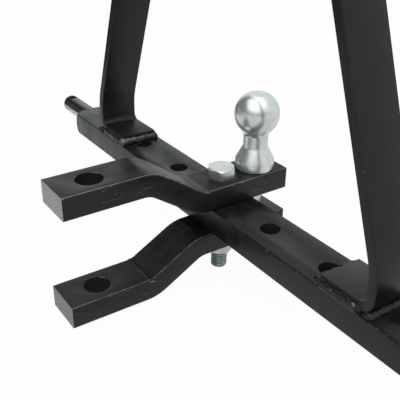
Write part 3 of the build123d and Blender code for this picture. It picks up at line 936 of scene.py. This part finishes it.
thread, thread_in = geometry_tree("rolled thread", [
    ("Crest Radius", FLOAT, thread_crest), ("Root Radius", FLOAT, thread_root),
    ("Pitch", FLOAT, thread_pitch), ("Low End", FLOAT, 0.0), ("High End", FLOAT, 0.04),
    ("End Chamfer", FLOAT, thread_chamfer), ("Run Out", FLOAT, thread_run_out),
    ("Centre", VECTOR, (0, 0, 0)), ("Finish", MATERIAL, None)])
crest, root, pitch = (thread_in[label] for label in ("Crest Radius", "Root Radius", "Pitch"))
thread_length = minus(thread, thread_in["High End"], thread_in["Low End"])
turn_count = calculate(thread, "DIVIDE", thread_length, pitch)
row_count = calculate(thread, "CEIL", plus(
    thread, product(thread, turn_count, rows_per_turn), rows_per_turn + rows_past_ends))
blank = wired(thread, "GeometryNodeMeshGrid", {"Vertices X": thread_sides + 1, "Vertices Y": row_count})
blank_place = split(thread, add_node(thread, "GeometryNodeInputPosition").outputs[0])
round_share = plus(thread, blank_place["X"], 0.5)
row = calculate(thread, "ROUND", product(
    thread, plus(thread, blank_place["Y"], 0.5), minus(thread, row_count, 1.0)))
turns_up = plus(thread, calculate(
    thread, "DIVIDE", minus(thread, row, rows_per_turn), rows_per_turn), round_share)
raw_height = greater(thread, product(thread, turns_up, pitch), 0.0)
height = calculate(thread, "MINIMUM", raw_height, thread_length)
flank = calculate(thread, "ABSOLUTE", minus(
    thread, calculate(thread, "MODULO", row, rows_per_turn), rows_per_turn / 2))
to_top = calculate(thread, "DIVIDE", minus(thread, thread_length, height), thread_in["Run Out"])
crest_share = calculate(
    thread, "MAXIMUM", stretch(thread, flank, root_rows, crest_rows), minus(thread, 1.0, to_top),
    clamp=True)
helix_radius = plus(thread, root, product(thread, crest_share, minus(thread, crest, root)))
chamfer_radius = plus(thread, minus(thread, crest, thread_in["End Chamfer"]), height)
not_first = calculate(thread, "GREATER_THAN", row, 0.5)
not_last = calculate(thread, "LESS_THAN", row, minus(thread, row_count, 1.5))
radius = product(
    thread, calculate(thread, "MINIMUM", helix_radius, chamfer_radius), not_first, not_last)
turn_angle = product(thread, round_share, math.tau)
wound_place = wired(thread, "ShaderNodeCombineXYZ", {
    0: product(thread, radius, calculate(thread, "COSINE", turn_angle)),
    1: product(thread, radius, calculate(thread, "SINE", turn_angle)),
    2: plus(thread, height, thread_in["Low End"])})
wound = wired(thread, "GeometryNodeSetPosition", {
    "Geometry": blank, "Position": vector_step(thread, "ADD", wound_place, thread_in["Centre"])})
closed = wired(thread, "GeometryNodeMergeByDistance", {"Geometry": wound, "Distance": seam_merge})
end_tree(thread, closed, thread_in["Finish"])


def face_outwards(shape):
    bmesh.ops.recalc_face_normals(shape, faces=shape.faces)


def cut_below_thread_start(shape):
    everything = shape.verts[:] + shape.edges[:] + shape.faces[:]
    cut = bmesh.ops.bisect_plane(
        shape, geom=everything, plane_co=(0, 0, thread_start - thread_lap), plane_no=(0, 0, -1),
        clear_outer=True)
    cut_edges = [item for item in cut["geom_cut"] if isinstance(item, bmesh.types.BMEdge)]
    bmesh.ops.contextual_create(shape, geom=cut_edges)


def rolled_thread(name, low_end, axis, finish):
    piece = grow(name, thread, {"Low End": low_end, "High End": thread_start,
                                "Centre": (axis.x, axis.y, 0), "Finish": finish})
    reshape(piece.data, face_outwards)
    shade(piece, thread_crease)
    return piece


def fused(name, *parts):
    mesh = bpy.data.meshes.new(name)
    shape = bmesh.new()
    for number, (piece, material) in enumerate(parts):
        first_new = len(shape.faces)
        shape.from_mesh(piece.data)
        shape.faces.ensure_lookup_table()
        for face in shape.faces[first_new:]:
            face.material_index = number
        mesh.materials.append(material)
    shape.to_mesh(mesh)
    shape.free()
    for piece, material in parts:
        bpy.data.objects.remove(piece)
    return put(name, mesh)


bolt_low, bolt_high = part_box("clamp_bolt")
thread_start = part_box("clamp_bolt_nut")[1].z + thread_past_nut
bolt_head = merged_copy("clamp_bolt", "bolt_head")
reshape(bolt_head.data, cut_below_thread_start)
round_edges(bolt_head, bolt_edge_round)
bolt_thread_zinc = thread_zinc("clamp_bolt")
bolt_thread = rolled_thread("bolt_thread", bolt_low.z, (bolt_low + bolt_high) / 2, bolt_thread_zinc)
clamp_bolt = fused("drawbar_clamp_bolt", (bolt_head, bolt_zinc), (bolt_thread, bolt_thread_zinc))
finish_piece(clamp_bolt, None, "frame", "zinc_steel", "clamp_bolt")

for nut_name in ("clamp_bolt_nut", "tow_ball_nut"):
    nut = merged_copy(nut_name, "drawbar_" + nut_name)
    round_edges(nut, bolt_edge_round)
    finish_piece(nut, shaded_nut_zinc, "frame", "zinc_steel", nut_name)

# Tow ball: turned from one bar, flattened crown, waisted neck flaring to a flange, and a
# threaded shank through both arms. Fine tool marks run round it under the zinc.
ball_low, ball_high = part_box("tow_ball")
ball_axis = (ball_low + ball_high) / 2
ball_radius = 0.0254
crown_flat = 0.0100
neck_radius = 0.0141
flange_radius = 0.0225
flange_height = 0.0105
flare_height = 0.0160
neck_upper_round = 0.008
neck_lower_round = 0.004
shank_radius = 0.0095
rim = 0.0008
crown_share = 0.97
crown_blend = 0.01
ball_sides = 128
ball_steps = 56
upper_round_steps = 10
lower_round_steps = 8
turned_crease = 25
ball_relief = 0.0000015
arm_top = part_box("clamp_bolt")[1].z - bolt_head_height
ball_centre_z = ball_high.z - math.sqrt(ball_radius**2 - crown_flat**2)

flange_top = arm_top + flange_height
neck_foot = flange_top + flare_height
upper_angle = math.acos((neck_radius + neck_upper_round) / (ball_radius + neck_upper_round))
upper_round_z = ball_centre_z - (ball_radius + neck_upper_round) * math.sin(upper_angle)
flare_slope = math.atan2(flare_height, flange_radius - neck_radius)
lower_tangent = neck_lower_round * math.tan((math.pi / 2 - flare_slope) / 2)
lower_round_z = neck_foot + lower_tangent


def arc_points(centre_r, centre_z, radius, start_angle, end_angle, count):
    angles = [start_angle + (end_angle - start_angle) * step / count for step in range(count + 1)]
    return [(centre_r + radius * math.cos(angle), centre_z + radius * math.sin(angle))
            for angle in angles]


def turn(name, profile, centre, sides):
    mesh = bpy.data.meshes.new(name)
    shape = bmesh.new()
    line = [shape.verts.new((centre.x + r, centre.y, z)) for r, z in profile]
    edges = [shape.edges.new(pair) for pair in zip(line, line[1:])]
    bmesh.ops.spin(shape, geom=line + edges, cent=(centre.x, centre.y, 0), axis=(0, 0, 1),
                   angle=math.tau, steps=sides, use_merge=True)
    bmesh.ops.remove_doubles(shape, verts=shape.verts, dist=merge_distance)
    bmesh.ops.recalc_face_normals(shape, faces=shape.faces)
    shape.to_mesh(mesh)
    shape.free()
    return put(name, mesh)


crown_angle = math.atan2(ball_high.z - ball_centre_z, crown_flat)
ball_profile = [(0, ball_high.z), (crown_flat * crown_share, ball_high.z)]
ball_profile += arc_points(
    0, ball_centre_z, ball_radius, crown_angle - crown_blend, -upper_angle, ball_steps)
ball_profile += arc_points(neck_radius + neck_upper_round, upper_round_z, neck_upper_round,
                           math.pi - upper_angle, math.pi, upper_round_steps)[1:]
ball_profile += arc_points(neck_radius + neck_lower_round, lower_round_z, neck_lower_round,
                           math.pi, math.pi + (math.pi / 2 - flare_slope), lower_round_steps)
ball_profile += [
    (flange_radius - rim * 0.3, flange_top + rim * 0.6), (flange_radius, flange_top - rim * 0.2),
    (flange_radius, arm_top + rim), (flange_radius - rim, arm_top),
    (shank_radius, arm_top), (shank_radius, thread_start), (0, thread_start)]
ball_zinc = zinc_plated("turned_zinc", ball_relief, Grain_Scale=(6, 6, 1500), Smooth=0.28, Coarse=0.33)
ball_body = turn("ball_body", ball_profile, ball_axis, ball_sides)
shade(ball_body, turned_crease)
shank_thread_zinc = thread_zinc("tow_ball")
ball_thread = rolled_thread("ball_thread", ball_low.z, ball_axis, shank_thread_zinc)
tow_ball = fused("drawbar_tow_ball", (ball_body, ball_zinc), (ball_thread, shank_thread_zinc))
finish_piece(tow_ball, None, "frame", "zinc_steel", "tow_ball")

# Top link pin, linch pin and spring ring: a headed pin through both ears, held by a linch
# pin whose wire ring flips over its end; all turned or bent from bar and zinc plated.
wire_gap = math.radians(8)
wire_steps = 96
wire_sides = 16
for pin_name in ("top_link_pin", "linch_pin"):
    pin = merged_copy(pin_name, "drawbar_" + pin_name)
    round_edges(pin, bolt_edge_round)
    finish_piece(pin, bolt_zinc, "top_pin", "zinc_steel", pin_name)

ring_low, ring_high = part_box("linch_pin_ring")
wire_radius = (ring_high.x - ring_low.x) / 2
wire, wire_in = geometry_tree("ring wire", [
    ("Ring Radius", FLOAT, 0.026), ("Wire Radius", FLOAT, 0.00175), ("Gap", FLOAT, wire_gap),
    ("Centre", VECTOR, (0, 0, 0)), ("Finish", MATERIAL, None)])
wire_line = wired(wire, "GeometryNodeCurveArc", {
    "Resolution": wire_steps, "Radius": wire_in["Ring Radius"],
    "Start Angle": calculate(wire, "DIVIDE", wire_in["Gap"], 2.0),
    "Sweep Angle": minus(wire, math.tau, wire_in["Gap"])}, mode="RADIUS")
wire_section = wired(wire, "GeometryNodeCurvePrimitiveCircle", {
    "Resolution": wire_sides, "Radius": wire_in["Wire Radius"]})
drawn_wire = wired(wire, "GeometryNodeCurveToMesh", {
    "Curve": wire_line, "Profile Curve": wire_section, "Fill Caps": True})
hung_wire = wired(wire, "GeometryNodeTransform", {
    "Geometry": drawn_wire, "Translation": wire_in["Centre"], "Rotation": (0, -math.pi / 2, 0)})
end_tree(wire, hung_wire, wire_in["Finish"])
ring = grow("drawbar_linch_pin_ring", wire, {
    "Ring Radius": (ring_high.y - ring_low.y) / 2 - wire_radius, "Wire Radius": wire_radius,
    "Centre": (ring_low + ring_high) / 2, "Finish": bolt_zinc})
reshape(ring.data, face_outwards)
shade(ring)
finish_piece(ring, bolt_zinc, "ring", "spring_steel", "linch_pin_ring")
